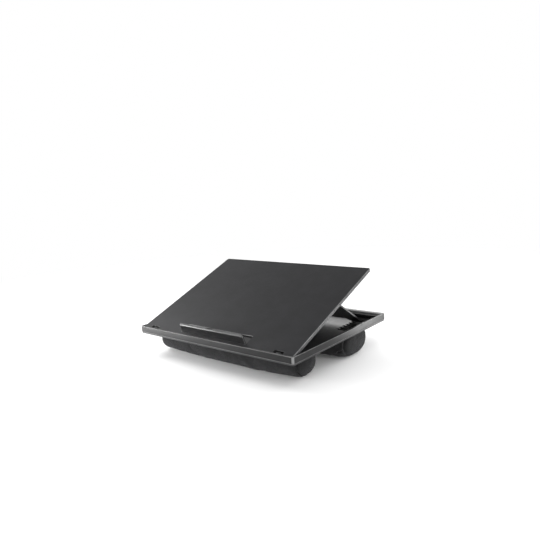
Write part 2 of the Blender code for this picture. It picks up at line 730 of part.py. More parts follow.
def build_prop(finish, pin_finish, plate_axis, prop_axis):
    """The panel that stands in the racks, with a barrel on top and a foot at each side."""
    web = PROP_LENGTH - PROP_FOOT_HEIGHT
    tip = PROP_LENGTH + PROP_THICKNESS / 2
    outer = PROP_HALF_WIDTH - PROP_SIDE_TRIM
    inner = outer - PROP_FOOT_WIDTH
    half = [(PROP_HALF_WIDTH, 0.0), (outer, tip), (inner, tip)]
    half += [(inner - PROP_FOOT_CHAMFER, web)]
    outline = half + [(-x, y) for x, y in reversed(half)]
    body = slab(outline, -PROP_THICKNESS / 2, PROP_THICKNESS / 2)
    near = PROP_THICKNESS / 100
    round_edges(body, FOOT_TIP_ROUND, lambda a, b: abs(a.y - tip) < near and abs(b.y - tip) < near
                and abs(a.z - b.z) < near)
    panel = make_piece("prop_panel", body, finish, prop_axis)
    reach = PROP_HALF_WIDTH - PROP_BARREL_SETBACK
    barrel = rod(PROP_BARREL_RADIUS, -reach, reach, 0.0, 0.0)
    combine(panel, make_cutter("prop_barrel", barrel, prop_axis), "UNION")
    bores = []
    for name, side in mirrored_sides():
        low, high = prop_pin_span(side)
        bores.append(rod(PROP_PIN_RADIUS + FIT, low - FIT, high + FIT, 0.0, 0.0))
        pin = rod(PROP_PIN_RADIUS, low, high, PROP_PIVOT_REACH, -PROP_PIVOT_DROP)
        make_piece("prop_pin_" + name, pin, pin_finish, plate_axis)
    combine(panel, make_cutter("prop_bores", joined(bores), prop_axis))


def build_stopper(finish, pin_finish, plate_axis, stopper_axis):
    """The blade that stands square to the plate and folds back into its pocket."""
    radius = STOPPER_RADIUS
    profile = []
    for step in range(ROUND_STEPS // 2 + 1):
        angle = math.radians(180.0 + 360.0 * step / ROUND_STEPS)
        profile.append((radius * math.cos(angle), radius * math.sin(angle)))
    profile += [(radius, STOPPER_BLADE - STOPPER_EDGE), (radius - STOPPER_EDGE, STOPPER_BLADE)]
    profile += [(-radius + STOPPER_EDGE, STOPPER_BLADE), (-radius, STOPPER_BLADE - STOPPER_EDGE)]
    for step in range(CORNER_STEPS - 1, 0, -1):
        share = step / CORNER_STEPS
        hollow = STOPPER_HOLLOW * math.sin(math.radians(180.0 * share))
        profile.append((-radius + hollow, (STOPPER_BLADE - STOPPER_EDGE) * share))
    half = STOPPER_WIDTH / 2
    blade = make_piece("stopper", bar(profile, -half, half), finish, stopper_axis)
    face = stopper_face()
    front = [(x, -2 * STOPPER_THICKNESS, z) for x, z in face]
    keep = extruded(front, (0.0, 4 * STOPPER_THICKNESS, 0.0))
    combine(blade, make_cutter("stopper_face", keep, stopper_axis), "INTERSECT")
    bores = []
    for name, side in mirrored_sides():
        low, high = stopper_pin_span(side)
        bores.append(rod(STOPPER_PIN_RADIUS + FIT, low - FIT, high + FIT, 0.0, 0.0))
        pin = rod(STOPPER_PIN_RADIUS, low, high, STOPPER_REACH, STOPPER_AXIS_Z)
        make_piece("stopper_pin_" + name, pin, pin_finish, plate_axis)
    combine(blade, make_cutter("stopper_bores", joined(bores), stopper_axis))


def stopper_face():
    """Front view of the stopper: round top corners and a shallow thumb notch."""
    half = STOPPER_WIDTH / 2
    outline = [(-half - OVERRUN, -STOPPER_THICKNESS), (half + OVERRUN, -STOPPER_THICKNESS)]
    outline += [(half + OVERRUN, STOPPER_CORNER), (half, STOPPER_CORNER)]
    for step in range(CORNER_STEPS + 1):
        angle = math.radians(90.0 * step / CORNER_STEPS)
        x = half - STOPPER_CORNER * (1.0 - math.cos(angle))
        outline.append((x, STOPPER_BLADE - STOPPER_CORNER * (1.0 - math.sin(angle))))
    top = outline[-1][1]
    notch = THUMB_NOTCH_WIDTH / 2
    outline += [(notch, top), (notch - THUMB_NOTCH_DEPTH, top - THUMB_NOTCH_DEPTH)]
    outline += [(-notch + THUMB_NOTCH_DEPTH, top - THUMB_NOTCH_DEPTH), (-notch, top)]
    for step in range(CORNER_STEPS, -1, -1):
        angle = math.radians(90.0 * step / CORNER_STEPS)
        x = -half + STOPPER_CORNER * (1.0 - math.cos(angle))
        outline.append((x, STOPPER_BLADE - STOPPER_CORNER * (1.0 - math.sin(angle))))
    outline += [(-half, STOPPER_CORNER), (-half - OVERRUN, STOPPER_CORNER)]
    return outline


def build_bumper(name, x, y, finish):
    """A round rubber bumper on the tray floor."""
    profile = (
        (0.0, BUMPER_BOTTOM),
        (BUMPER_RADIUS, BUMPER_BOTTOM),
        (BUMPER_RADIUS, BUMPER_TOP - BUMPER_EDGE),
        (BUMPER_RADIUS - BUMPER_EDGE, BUMPER_TOP),
        (0.0, BUMPER_TOP),
    )
    piece = make_piece(name, turned(profile), finish)
    piece.location = (x, y, 0.0)


def superellipse(angle, squareness):
    """Unit point of a rounded-square section at an angle."""
    power = 2.0 / squareness
    across = math.copysign(abs(math.cos(angle)) ** power, math.cos(angle))
    up = math.copysign(abs(math.sin(angle)) ** power, math.sin(angle))
    return across, up


def cushion_station(ring, seam):
    """Distance along a cushion and size of its section at a ring, counted from one end."""
    from_end = min(ring, CUSHION_RINGS - ring)
    if from_end < CUSHION_SEAM_RING:
        angle = math.radians(90.0 * (1.0 - from_end / CUSHION_SEAM_RING))
        size, out = superellipse(angle, CUSHION_DOME_SQUARENESS)
        along = seam + CUSHION_END_DOME * out
    else:
        middle = CUSHION_RINGS / 2
        share = (from_end - CUSHION_SEAM_RING) / (middle - CUSHION_SEAM_RING)
        along = seam * math.cos(math.radians(90.0 * share))
        size = 1.0
    return along, size


def build_cushion(name, centre_y, depth, length, squareness, finish):
    """A D-shaped bolster with end panels, flat on top and where it stands."""
    shape = bmesh.new()
    bmesh.ops.create_uvsphere(
        shape, u_segments=CUSHION_ROUND_STEPS, v_segments=CUSHION_RINGS, radius=1.0
    )
    low = -CUSHION_FLAT
    high = CUSHION_HEIGHT + CUSHION_HIDDEN_CROWN
    middle_z = (low + high) / 2
    seam = length / 2 - CUSHION_END_DOME
    for vert in shape.verts:
        ring = round(math.acos(max(-1.0, min(1.0, vert.co.z))) / math.pi * CUSHION_RINGS)
        angle = math.atan2(vert.co.y, vert.co.x)
        along, size = cushion_station(ring, seam)
        if ring > CUSHION_RINGS / 2:
            along = -along
        across, up = superellipse(angle, squareness)
        bow = CUSHION_SIDE_BOW * (1.0 - (along / seam) ** 2) if abs(along) < seam else 0.0
        if min(ring, CUSHION_RINGS - ring) == CUSHION_SEAM_RING:
            bow = -CUSHION_SEAM_GROOVE
        if min(ring, CUSHION_RINGS - ring) == 0:
            across = 0.0
            up = 0.0
        half_depth = depth / 2 - CUSHION_SIDE_BOW + bow
        half_height = (high - low) / 2 + min(bow, 0.0)
        vert.co = Vector((along, centre_y + across * half_depth * size, middle_z + up * half_height * size))
    for height, direction in ((0.0, -1.0), (CUSHION_HEIGHT, 1.0)):
        geometry = list(shape.verts) + list(shape.edges) + list(shape.faces)
        cut = bmesh.ops.bisect_plane(
            shape,
            geom=geometry,
            dist=CUSHION_FLAT / 100,
            plane_co=(0.0, 0.0, height),
            plane_no=(0.0, 0.0, direction),
            clear_outer=True,
        )
        rim = [item for item in cut["geom_cut"] if isinstance(item, bmesh.types.BMEdge)]
        bmesh.ops.edgeloop_fill(shape, edges=rim)
    bmesh.ops.recalc_face_normals(shape, faces=shape.faces)
    piece = make_piece(name + "_cushion", shape, finish)
    x, y_low, y_high = board_extent(centre_y, depth, length)
    recess = box(
        -x - FIT, x + FIT, y_low - FIT, y_high + FIT,
        CUSHION_HEIGHT - BOARD_THICKNESS - FIT, CUSHION_HEIGHT + OVERRUN,
    )
    combine(piece, make_cutter(name + "_board_recess", recess))


def board_extent(centre_y, depth, length):
    """Half length, front and rear of the board in a cushion's top."""
    reach = depth / 2 - BOARD_SIDE_MARGIN
    return length / 2 - BOARD_END_MARGIN, centre_y - reach, centre_y + reach


def board_screw_xs(length):
    """Places along X of the screws in the board of a cushion."""
    outer = length / 2 - BOARD_END_MARGIN - BOARD_SCREW_END_MARGIN
    return -outer, -BOARD_SCREW_INNER_X, BOARD_SCREW_INNER_X, outer


def build_board(name, centre_y, depth, length, finish):
    """The board that the cushion is fixed to, let into its top."""
    x, y_low, y_high = board_extent(centre_y, depth, length)
    body = box(-x, x, y_low, y_high, CUSHION_HEIGHT - BOARD_THICKNESS, CUSHION_HEIGHT)
    return make_piece(name + "_cushion_board", body, finish)


def build():
    """Builds the whole stand."""
    for item in list(bpy.data.objects):
        bpy.data.objects.remove(item, do_unlink=True)

    tray_plastic = material("tray_plastic", (0.060, 0.060, 0.062), 0.38)
    cover_plastic = material("cover_plastic", (0.022, 0.022, 0.023), 0.50)
    plate_plastic = material("plate_plastic", (0.045, 0.045, 0.048), 0.42)
    black_plastic = material("black_plastic", (0.010, 0.010, 0.011), 0.45)
    stopper_plastic = material("stopper_plastic", (0.035, 0.035, 0.037), 0.32)
    rubber = material("rubber", (0.012, 0.012, 0.012), 0.85)
    steel = material("steel", (0.55, 0.55, 0.56), 0.32, 1.0)
    cushion_fabric = material("cushion_fabric", (0.028, 0.028, 0.030), 0.95)
    board = material("board", (0.050, 0.046, 0.040), 0.80)

    shell = build_tray_shell(tray_plastic)
    cover = build_base_cover(cover_plastic)

    hinge_screw = screw_mesh("hinge_screw", HINGE_SCREW_LENGTH, steel)
    cover_screw = screw_mesh("cover_screw", COVER_SCREW_LENGTH, steel)
    board_screw = screw_mesh("board_screw", BOARD_SCREW_LENGTH, steel)
    plate_screw = screw_mesh("plate_screw", PLATE_SCREW_LENGTH, steel)

    for name, side in mirrored_sides():
        build_rack("rack_" + name, side, black_plastic)
        block = build_hinge(name, side, black_plastic, steel)
        add_screw(
            "hinge_screw_" + name, hinge_screw, HINGE_SCREW_LENGTH,
            side * HINGE_X, HINGE_Y, COVER_BOTTOM, (cover, shell, block),
        )
    for index, x in enumerate(COVER_SCREW_XS, start=1):
        add_screw(
            f"cover_screw_{index}", cover_screw, COVER_SCREW_LENGTH,
            x, COVER_SCREW_Y, COVER_BOTTOM, (cover, shell),
        )

    cushions = (
        ("front", FRONT_CUSHION_Y, FRONT_CUSHION_DEPTH, FRONT_CUSHION_LENGTH, FRONT_CUSHION_SQUARENESS),
        ("rear", REAR_CUSHION_Y, REAR_CUSHION_DEPTH, REAR_CUSHION_LENGTH, REAR_CUSHION_SQUARENESS),
    )
    for name, centre_y, depth, length, squareness in cushions:
        build_cushion(name, centre_y, depth, length, squareness, cushion_fabric)
        backing = build_board(name, centre_y, depth, length, board)
        for index, x in enumerate(board_screw_xs(length), start=1):
            add_screw(
                f"{name}_board_screw_{index}", board_screw, BOARD_SCREW_LENGTH,
                x, centre_y, CUSHION_HEIGHT - BOARD_THICKNESS, (backing, cover),
            )

    bumper = 0
    for y in BUMPER_YS:
        for _, side in mirrored_sides():
            bumper += 1
            build_bumper(f"rest_bumper_{bumper}", side * BUMPER_X, y, rubber)

    plate_axis = make_axis("plate_axis", (0.0, HINGE_Y, HINGE_Z), PLATE_TILT)
    prop_axis = make_axis("prop_axis", (0.0, PROP_PIVOT_REACH, -PROP_PIVOT_DROP), -PROP_UNFOLD, plate_axis)
    stopper_axis = make_axis("stopper_axis", (0.0, STOPPER_REACH, STOPPER_AXIS_Z), 0.0, plate_axis)

    top = build_plate_top(plate_plastic, plate_axis)
    under = build_plate_underframe(black_plastic, plate_axis)
    number = 0
    for y in PLATE_SCREW_YS:
        for _, side in mirrored_sides():
            number += 1
            add_screw(
                f"plate_screw_{number}", plate_screw, PLATE_SCREW_LENGTH,
                side * PLATE_SCREW_X, y, PLATE_UNDERSIDE, (under, top), plate_axis,
            )
    build_prop(black_plastic, steel, plate_axis, prop_axis)
    build_stopper(stopper_plastic, steel, plate_axis, stopper_axis)


build()
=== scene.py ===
import math

import bmesh
import bpy
from mathutils import Matrix, Vector, noise


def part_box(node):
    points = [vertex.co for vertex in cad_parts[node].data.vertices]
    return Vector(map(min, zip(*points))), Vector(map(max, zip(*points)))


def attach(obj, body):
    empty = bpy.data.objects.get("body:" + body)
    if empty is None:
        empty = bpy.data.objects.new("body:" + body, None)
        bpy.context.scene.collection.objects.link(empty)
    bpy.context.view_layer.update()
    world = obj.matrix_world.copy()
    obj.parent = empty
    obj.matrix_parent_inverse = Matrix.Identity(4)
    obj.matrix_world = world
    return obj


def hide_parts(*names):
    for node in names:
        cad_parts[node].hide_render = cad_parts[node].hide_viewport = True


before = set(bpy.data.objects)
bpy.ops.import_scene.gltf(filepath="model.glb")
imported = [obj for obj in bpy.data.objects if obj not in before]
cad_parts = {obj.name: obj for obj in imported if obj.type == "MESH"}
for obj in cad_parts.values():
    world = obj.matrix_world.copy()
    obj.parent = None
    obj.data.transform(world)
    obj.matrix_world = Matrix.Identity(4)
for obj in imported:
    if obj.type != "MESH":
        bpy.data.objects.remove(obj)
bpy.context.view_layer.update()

# Tray moulding. The real piece is a shallow injection-moulded tray of dark grey plastic with a fine
# spark-eroded grain. Its rim edges are rounded by the mould, and handling polishes them a little; their
# lighter colour is partly that wear and partly a painted highlight.
TRAY_COLOUR = (0.008, 0.008, 0.0083)
TRAY_ROUND = 0.0009
RIM_WIDTH = 0.0022
RIM_FOOT = 0.050
# share of the lighter tone painted on the tray floor, a painted light
FLOOR_PAINTED_LIGHT = 0.16
FACES_UP = 0.99
MERGE_DISTANCE = 0.00001
FLAT_ANGLE = math.radians(0.5)
LEAST_BEND = math.radians(10.0)
SHARP_ANGLE = math.radians(32.0)
SMOOTH_ANGLE = math.radians(40.0)
IN_LINE = math.cos(math.radians(40.0))
ROOM_IN_WIDTHS = 2.2
LONG_EDGE_SHARE = 0.5
CLOUD_SCALE = 38.0
SCUFF_SCALE = (260.0, 170.0, 220.0)
SCUFF_TURN = (0.3, 0.2, 0.9)
RUBBED_SMOOTHER = 0.10
# near black of the painted shade in the hinge notches
NOTCH_SHADE_COLOUR = (0.002, 0.002, 0.002)


def welded_shape(node):
    """A merged copy of a CAD node's mesh, with its flat faces joined again."""
    shape = bmesh.new()
    shape.from_mesh(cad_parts[node].data)
    shape.loops.layers.float.new("wear_and_highlight")
    bmesh.ops.remove_doubles(shape, verts=shape.verts, dist=MERGE_DISTANCE)
    bmesh.ops.dissolve_limit(shape, angle_limit=FLAT_ANGLE, verts=shape.verts, edges=shape.edges)
    return shape


def mark_wear_and_paint(shape, face, wear):
    """Marks a face in the mesh: one is worn and painted bright, nought is plain, and less than nought is
    painted shade.
    """
    wear_and_highlight = shape.loops.layers.float["wear_and_highlight"]
    for loop in face.loops:
        loop[wear_and_highlight] = wear


def turns_corner(edge, angle):
    """Whether an outer corner runs along the edge that bends more than the angle."""
    return len(edge.link_faces) == 2 and edge.is_convex and edge.calc_face_angle(0.0) > angle


def has_room(edge, sharp, width):
    """Whether the edges that meet this one at an angle are long enough for a round of that width."""
    along = (edge.verts[1].co - edge.verts[0].co).normalized()
    for near in {near for vert in edge.verts for near in vert.link_edges} - {edge}:
        way = (near.verts[1].co - near.verts[0].co).normalized()
        in_line = near in sharp and abs(way.dot(along)) > IN_LINE
        if not in_line and near.calc_length() < ROOM_IN_WIDTHS * width:
            return False
    return True


def soften_edges(shape, width):
    """Rounds each outer corner line that has room for it, and marks the rounds lighter: partly wear, partly
    a painted highlight.
    """
    sharp = {edge for edge in shape.edges if turns_corner(edge, SHARP_ANGLE)}
    chosen = [edge for edge in shape.edges if edge in sharp and has_room(edge, sharp, width)]
    rounds = bmesh.ops.bevel(
        shape, geom=chosen, offset=width, offset_type="OFFSET", segments=2, profile=0.5,
        affect="EDGES", clamp_overlap=False, material=-1,
    )
    for face in rounds["faces"]:
        mark_wear_and_paint(shape, face, 1.0)


def rub_and_light_rounds(shape, width, above=-1.0):
    """Marks the narrow faces that turn a corner, such as a rim and an upright corner, lighter: partly wear,
    partly painted highlight.
    """
    for face in shape.faces:
        longest = max(edge.calc_length() for edge in face.edges)
        bends = [
            edge for edge in face.edges
            if edge.calc_length() > LONG_EDGE_SHARE * longest and turns_corner(edge, LEAST_BEND)
        ]
        if face.calc_area() < width * longest and len(bends) > 1 and face.calc_center_median().z > above:
            mark_wear_and_paint(shape, face, 1.0)


def paint_floor_light(shape):
    """Marks the tray floor to be painted a little lighter and glossier, a painted light on the floor."""
    for face in shape.faces:
        if face.normal.z > FACES_UP and face.calc_center_median().z < RIM_FOOT:
            mark_wear_and_paint(shape, face, FLOOR_PAINTED_LIGHT)


def place_piece(name, shape, finish, body, slot, *nodes):
    """Turns a bmesh into a smooth-shaded piece that rides on a body and stands for CAD nodes."""
    mesh = bpy.data.meshes.new(name)
    shape.to_mesh(mesh)
    shape.free()
    mesh.shade_smooth()
    mesh.set_sharp_from_angle(angle=SMOOTH_ANGLE)
    mesh.materials.append(finish)
    piece = bpy.data.objects.new(name, mesh)
    bpy.context.collection.objects.link(piece)
    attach(piece, body)
    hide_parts(*nodes)
    return piece


def even_shading(piece):
    """Keeps large faces flat where they meet small rounds."""
    shading = piece.modifiers.new("even shading", "WEIGHTED_NORMAL")
    shading.keep_sharp = True
    shading.weight = 100


def new_finish(name):
    """A new material, its node tree and its shader."""
    finish = bpy.data.materials.new(name)
    finish.use_nodes = True
    return finish, finish.node_tree, finish.node_tree.nodes["Principled BSDF"]


def feed(tree, socket, value):
    """Gives an input the output that feeds it, or the number or colour that it holds."""
    if isinstance(value, bpy.types.NodeSocket):
        tree.links.new(value, socket)
    else:
        socket.default_value = value


def add_node(tree, kind, **values):
    """A shader node with its settings and what its inputs are given."""
    node = tree.nodes.new(kind)
    for key, value in values.items():
        if key in node.inputs:
            feed(tree, node.inputs[key], value)
        else:
            setattr(node, key, value)
    return node


def add_pattern(tree, kind, place, **values):
    """A noise or a wave that runs through the place it is given."""
    return add_node(tree, kind, Vector=place, **values).outputs["Fac"]


def combine(tree, kind, *parts, **settings):
    """The result of a node whose inputs in use are given the parts in their order."""
    node = add_node(tree, kind, **settings)
    in_use = [socket for socket in node.inputs if socket.enabled]
    for socket, part in zip(in_use, parts):
        feed(tree, socket, part)
    return next(socket for socket in node.outputs if socket.enabled)


def work_out(tree, operation, *parts, **settings):
    """The result of a sum of outputs and numbers."""
    return combine(tree, "ShaderNodeMath", *parts, operation=operation, **settings)


def rescale(tree, value, low, high, new_low=0.0, new_high=1.0, **settings):
    """Carries a value over from one range to another."""
    return combine(tree, "ShaderNodeMapRange", value, low, high, new_low, new_high, **settings)


def grade(tree, value, low, low_colour, high, high_colour):
    """A colour that goes from one to another while a value goes from low to high."""
    node = add_node(tree, "ShaderNodeValToRGB", Fac=value)
    for stop, place, colour in zip(node.color_ramp.elements, (low, high), (low_colour, high_colour)):
        stop.position = place
        stop.color = (*colour, 1.0)
    return node.outputs["Color"]


def lay_over(tree, share, below, colour):
    """A colour laid over another as thickly as the share says."""
    return combine(tree, "ShaderNodeMix", share, below, (*colour, 1.0), data_type="RGBA")


def moulded_plastic(
    name, colour, roughness, specular, wear_and_highlight_tone=0.06, grain=2600.0, relief=0.00002, scuffing=0.02,
    cloudy=0.15,
):
    """Moulded plastic: fine grain, cloudy gloss, faint scuffs, lighter rounds (wear and painted highlight),
    painted shade.
    """
    finish, tree, shader = new_finish(name)
    shader.inputs["Specular IOR Level"].default_value = specular
    where = add_node(tree, "ShaderNodeTexCoord").outputs["Object"]
    stretched = add_node(tree, "ShaderNodeMapping", Vector=where, Rotation=SCUFF_TURN, Scale=SCUFF_SCALE)
    scuff_place = stretched.outputs["Vector"]
    clouds = add_pattern(tree, "ShaderNodeTexNoise", where, Scale=CLOUD_SCALE, Detail=4.0, Roughness=0.6)
    grains = add_pattern(tree, "ShaderNodeTexNoise", where, Scale=grain, Detail=3.0, Roughness=0.7)
    scuffs = add_pattern(tree, "ShaderNodeTexNoise", scuff_place, Scale=1.0, Detail=2.0)

    # The wear with its painted highlight, and the painted shade, are marked in the mesh; the clouds break
    # the lighter marks up
    marked = add_node(tree, "ShaderNodeAttribute", attribute_name="wear_and_highlight").outputs["Fac"]
    patches = rescale(tree, clouds, low=0.35, high=0.60, new_low=0.45, new_high=1.0)
    rubbed_and_lit = work_out(tree, "MULTIPLY", marked, patches)
    painted_shade = work_out(tree, "MULTIPLY", marked, -1.0, use_clamp=True)

    darker = [(1.0 - cloudy) * part for part in colour]
    lighter = [(1.0 + cloudy) * part for part in colour]
    new = grade(tree, clouds, low=0.30, low_colour=darker, high=0.72, high_colour=lighter)
    # the marked rounds take a lighter tone: partly wear, partly a painted highlight
    wear_and_highlight = lay_over(tree, rubbed_and_lit, new, (wear_and_highlight_tone, wear_and_highlight_tone, wear_and_highlight_tone))
    # marks below nought are laid over in near black, a painted shade
    feed(tree, shader.inputs["Base Color"], lay_over(tree, painted_shade, wear_and_highlight, NOTCH_SHADE_COLOUR))
    smoothest = roughness - scuffing
    roughest = roughness + scuffing
    gloss = rescale(tree, scuffs, low=0.3, high=0.7, new_low=smoothest, new_high=roughest)
    feed(tree, shader.inputs["Roughness"], work_out(tree, "MULTIPLY_ADD", rubbed_and_lit, -RUBBED_SMOOTHER, gloss))
    bump = add_node(tree, "ShaderNodeBump", Strength=0.35, Distance=relief, Height=grains)
    feed(tree, shader.inputs["Normal"], bump.outputs["Normal"])
    return finish


tray_plastic = moulded_plastic(
    "tray plastic", TRAY_COLOUR, roughness=0.36, specular=0.24, wear_and_highlight_tone=0.17
)
shape = welded_shape("tray_shell")
# the rim and the rounds are painted lighter: partly wear, partly a painted highlight
rub_and_light_rounds(shape, RIM_WIDTH, above=RIM_FOOT)
# the tray floor is painted a little lighter, as painted light
paint_floor_light(shape)
soften_edges(shape, TRAY_ROUND)
tray = place_piece("tray_moulding", shape, tray_plastic, "base", "tray_plastic", "tray_shell")
even_shading(tray)

# Base cover. A flat moulding of near-black plastic, screwed under the tray, that carries the cushions.
# It is a little smaller than the tray, so that a fine dark line shows between the two.
COVER_COLOUR = (0.020, 0.020, 0.021)

cover_plastic = moulded_plastic("cover plastic", COVER_COLOUR, roughness=0.50, specular=0.4)
shape = welded_shape("base_cover")
cover = place_piece("cover_moulding", shape, cover_plastic, "base", "cover_plastic", "base_cover")
even_shading(cover)

# Racks. Two strips of black plastic under the comb-shaped windows of the tray floor. They are laid
# into pockets of the cover before the tray closes over them, and their notches hold the prop's feet.
RACK_COLOUR = (0.003, 0.003, 0.0032)

rack_plastic = moulded_plastic(
    "rack plastic", RACK_COLOUR, roughness=0.60, specular=0.06, wear_and_highlight_tone=0.02
)
for side in ("left", "right"):
    rack = "rack_" + side
    shape = welded_shape(rack)
    piece = place_piece("notched_" + rack, shape, rack_plastic, "base", "black_plastic", rack)
    even_shading(piece)

# Front hinge. A block with two ears on each side of the tray floor, held by a screw from below, and
# a steel pin through the ears and the tongue of the plate. The blocks are moulded in black plastic.
HINGE_COLOUR = (0.003, 0.003, 0.0032)
HINGE_ROUND = 0.0001

hinge_plastic = moulded_plastic(
    "hinge plastic", HINGE_COLOUR, roughness=0.60, specular=0.06, wear_and_highlight_tone=0.02
)
for side in ("left", "right"):
    block = "hinge_block_" + side
    shape = welded_shape(block)
    # the rounds are painted a little lighter: partly wear, partly a painted highlight
    soften_edges(shape, HINGE_ROUND)
    place_piece("hinge_ears_" + side, shape, hinge_plastic, "base", "black_plastic", block)

# Screws and pins. Countersunk cross-slot screws and plain hinge pins of steel, plated with bright
# zinc. They keep the shapes of the CAD, and get their finish here.
STEEL_DARK = (0.46, 0.46, 0.47)
STEEL_LIGHT = (0.62, 0.62, 0.62)
STEEL_SMOOTHEST = 0.26
STEEL_ROUGHEST = 0.44


def zinc_steel(name):
    """Bright zinc-plated steel with fine turning marks and a slightly cloudy plating."""
    finish, tree, shader = new_finish(name)
    shader.inputs["Metallic"].default_value = 1.0
    where = add_node(tree, "ShaderNodeTexCoord").outputs["Object"]
    clouds = add_pattern(tree, "ShaderNodeTexNoise", where, Scale=700.0, Detail=3.0)
    marks = add_pattern(tree, "ShaderNodeTexWave", where, Scale=1400.0, Distortion=2.0)
    plating = grade(tree, clouds, low=0.0, low_colour=STEEL_DARK, high=1.0, high_colour=STEEL_LIGHT)
    gloss = rescale(tree, clouds, low=0.0, high=1.0, new_low=STEEL_SMOOTHEST, new_high=STEEL_ROUGHEST)
    feed(tree, shader.inputs["Base Color"], plating)
    feed(tree, shader.inputs["Roughness"], gloss)
    bump = add_node(tree, "ShaderNodeBump", Strength=0.25, Distance=0.00002, Height=marks)
    feed(tree, shader.inputs["Normal"], bump.outputs["Normal"])
    return finish


def finish_node(node, finish):
    """Gives a CAD node that stays its own finish."""
    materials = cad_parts[node].data.materials
    materials.clear()
    materials.append(finish)


steel = zinc_steel("zinc steel")
for node in sorted(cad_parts):
    if "screw" in node or "pin" in node:
        finish_node(node, steel)

# Boards. A thin pressed board in the top of each cushion, which the fabric is stapled to and the
# four screws reach through.
BOARD_COLOUR = (0.050, 0.046, 0.040)

board_finish = moulded_plastic(
    "pressed board", BOARD_COLOUR, roughness=0.80, specular=0.3, grain=1500.0, relief=0.0001
)
for node in ("front_cushion_board", "rear_cushion_board"):
    finish_node(node, board_finish)

# Rests. Four round bumpers of black soft rubber, glued to the tray floor at the sides. The folded
# plate lies on them.
RUBBER_COLOUR = (0.012, 0.012, 0.012)

rubber = moulded_plastic(
    "rubber", RUBBER_COLOUR, roughness=0.85, specular=0.3, grain=3200.0, relief=0.00004
)
for node in sorted(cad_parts):
    if node.startswith("rest_bumper"):
        finish_node(node, rubber)

# Plate. Two tiers of moulded plastic, screwed together: the dark grey upper one is the surface that
# bears the load, the lower one carries ribs, the hinge tongues and the lugs of the prop.
PLATE_COLOUR = (0.020, 0.020, 0.0215)
UNDERFRAME_COLOUR = (0.045, 0.045, 0.046)
PLATE_ROUND = 0.0008
PLATE_EDGE_WIDTH = 0.001
NOTCH_ROOM = 0.004
NOTCH_WALL = 0.00006


def paint_notch_shade(shape):
    """Marks the walls and the tongues beside the hinge blocks for a painted shade, as dark as a deep
    recess.
    """
    for side in ("left", "right"):
        low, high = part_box("hinge_block_" + side)
        for face in shape.faces:
            at = face.calc_center_median()
            beside = low.x - NOTCH_ROOM < at.x < high.x + NOTCH_ROOM
            along = low.y - NOTCH_ROOM < at.y < high.y + NOTCH_ROOM
            if beside and along and face.calc_area() < NOTCH_WALL:
                mark_wear_and_paint(shape, face, -1.0)


plate_plastic = moulded_plastic(
    "plate plastic", PLATE_COLOUR, roughness=0.40, specular=0.35, wear_and_highlight_tone=0.20
)
shape = welded_shape("plate_top")
# the plate's edges and rounds are painted lighter: partly wear, partly a painted highlight
rub_and_light_rounds(shape, PLATE_EDGE_WIDTH)
soften_edges(shape, PLATE_ROUND)
# the walls of the hinge notches get a painted shade
paint_notch_shade(shape)
plate = place_piece("plate_surface", shape, plate_plastic, "plate", "plate_plastic", "plate_top")
even_shading(plate)

underframe_plastic = moulded_plastic(
    "underframe plastic", UNDERFRAME_COLOUR, roughness=0.42, specular=0.5, wear_and_highlight_tone=0.12
)
shape = welded_shape("plate_underframe")
paint_notch_shade(shape)
underframe = place_piece(
    "plate_lower_tier", shape, underframe_plastic, "plate", "black_plastic", "plate_underframe"
)
even_shading(underframe)

# Prop. A wide moulded panel of black plastic, with a barrel along its top that turns on two pins in
# the plate's lugs, and a foot at each side that stands in a notch of its rack.
PROP_COLOUR = (0.005, 0.005, 0.0055)
PROP_ROUND = 0.0007

prop_plastic = moulded_plastic(
    "prop plastic", PROP_COLOUR, roughness=0.36, specular=0.3, wear_and_highlight_tone=0.28
)
shape = welded_shape("prop_panel")
# the prop's rounds are painted lighter: partly wear, partly a painted highlight
soften_edges(shape, PROP_ROUND)
prop = place_piece("folding_prop", shape, prop_plastic, "prop", "black_plastic", "prop_panel")
even_shading(prop)

# Stopper. A half-glossy blade moulded in dark plastic, which turns on two pins and folds down into its
# pocket in the plate. Its front leans back towards the top, and its front and top are painted lighter
# towards the top, a painted highlight.
STOPPER_COLOUR = (0.010, 0.010, 0.0105)
STOPPER_ROUND = 0.0004
BLADE_BANDS = 9
BLADE_FOOT_SHARE = 0.30
BLADE_LEAN = 0.0012
BLADE_SKIN = 0.0004
# how light the top of the front and the top face are painted, a painted highlight
BLADE_PAINTED_LIGHT = 0.42
FACES_ALONG = 0.5
PLATE_TILT = math.radians(21.5)


def cut_across(shape, place, normal, **settings):
    """Cuts a shape along a plane."""
    return bmesh.ops.bisect_plane(
        shape, geom=[*shape.verts, *shape.edges, *shape.faces], dist=MERGE_DISTANCE,
        plane_co=place, plane_no=normal, **settings,
    )


